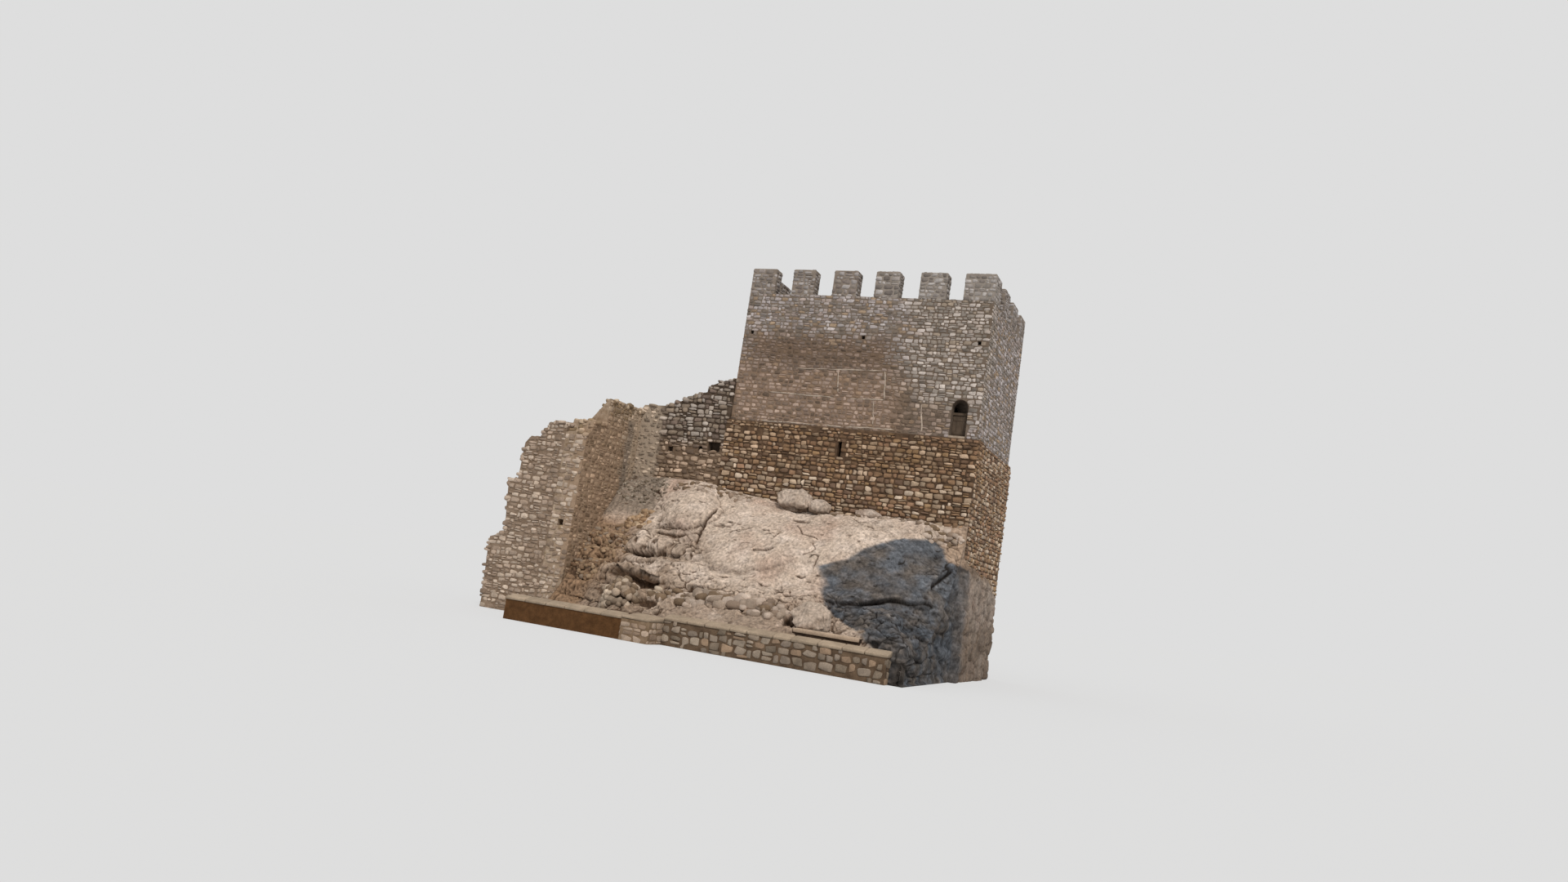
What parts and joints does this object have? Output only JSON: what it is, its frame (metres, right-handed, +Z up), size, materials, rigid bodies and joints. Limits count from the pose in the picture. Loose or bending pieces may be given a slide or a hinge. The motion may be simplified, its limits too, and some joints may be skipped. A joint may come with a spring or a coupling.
{
  "type": "ruined castle",
  "caption": "Rubble-stone castle keep with battlements and a high doorway, joined to a broken curtain wall and turret, standing on a rock crag behind a low wall with a pier.",
  "frame": {"origin": "centre of the footprint's bounding box, on the ground", "axes": "+Z up, front of the keep faces -Y, +X along the front to the right, the longest extent"},
  "size_m": [21.49, 16.96, 18.28],
  "materials": {
    "keep_stone": "flush-pointed rubble, grey-brown, weathered",
    "base_stone": "coursed rubble with open joints, ochre-brown",
    "ruin_stone": "coursed rubble, beige-grey, broken tops",
    "rock": "bare cream-pink limestone",
    "garden_stone": "polygonal rubble with recessed joints",
    "coping_stone": "flat worn slabs",
    "paving": "stone flags",
    "timber": "weathered grey-brown boards"
  },
  "bodies": {
    "root": {"keep_front_wall": "keep_stone", "keep_back_wall": "keep_stone", "keep_left_wall": "keep_stone", "keep_right_wall": "keep_stone", "front_parapet": "keep_stone", "back_parapet": "keep_stone", "left_parapet": "keep_stone", "right_parapet": "keep_stone", "front_merlon_1": "keep_stone", "front_merlon_2": "keep_stone", "front_merlon_3": "keep_stone", "front_merlon_4": "keep_stone", "front_merlon_5": "keep_stone", "front_merlon_6": "keep_stone", "left_merlons": "keep_stone", "right_merlons": "keep_stone", "back_merlons": "keep_stone", "keep_base_front": "base_stone", "keep_base_back": "base_stone", "keep_base_left": "base_stone", "keep_base_right": "base_stone", "curtain_wall": "ruin_stone", "flank_wall": "ruin_stone", "turret_front_wall": "ruin_stone", "rock_crag": "rock", "outcrop_boulders": "rock", "toe_boulder": "rock", "rubble_heap": "rock", "low_wall": "garden_stone", "wall_pier": "garden_stone", "left_low_wall": "garden_stone", "low_wall_coping": "coping_stone", "pier_cap": "coping_stone", "left_coping": "coping_stone", "kerb_stone": "coping_stone", "door_sill_stone": "coping_stone", "roof_terrace": "paving", "door_leaf": "timber", "door_transom": "timber", "room_floor": "timber"}
  },
  "joints": []
}
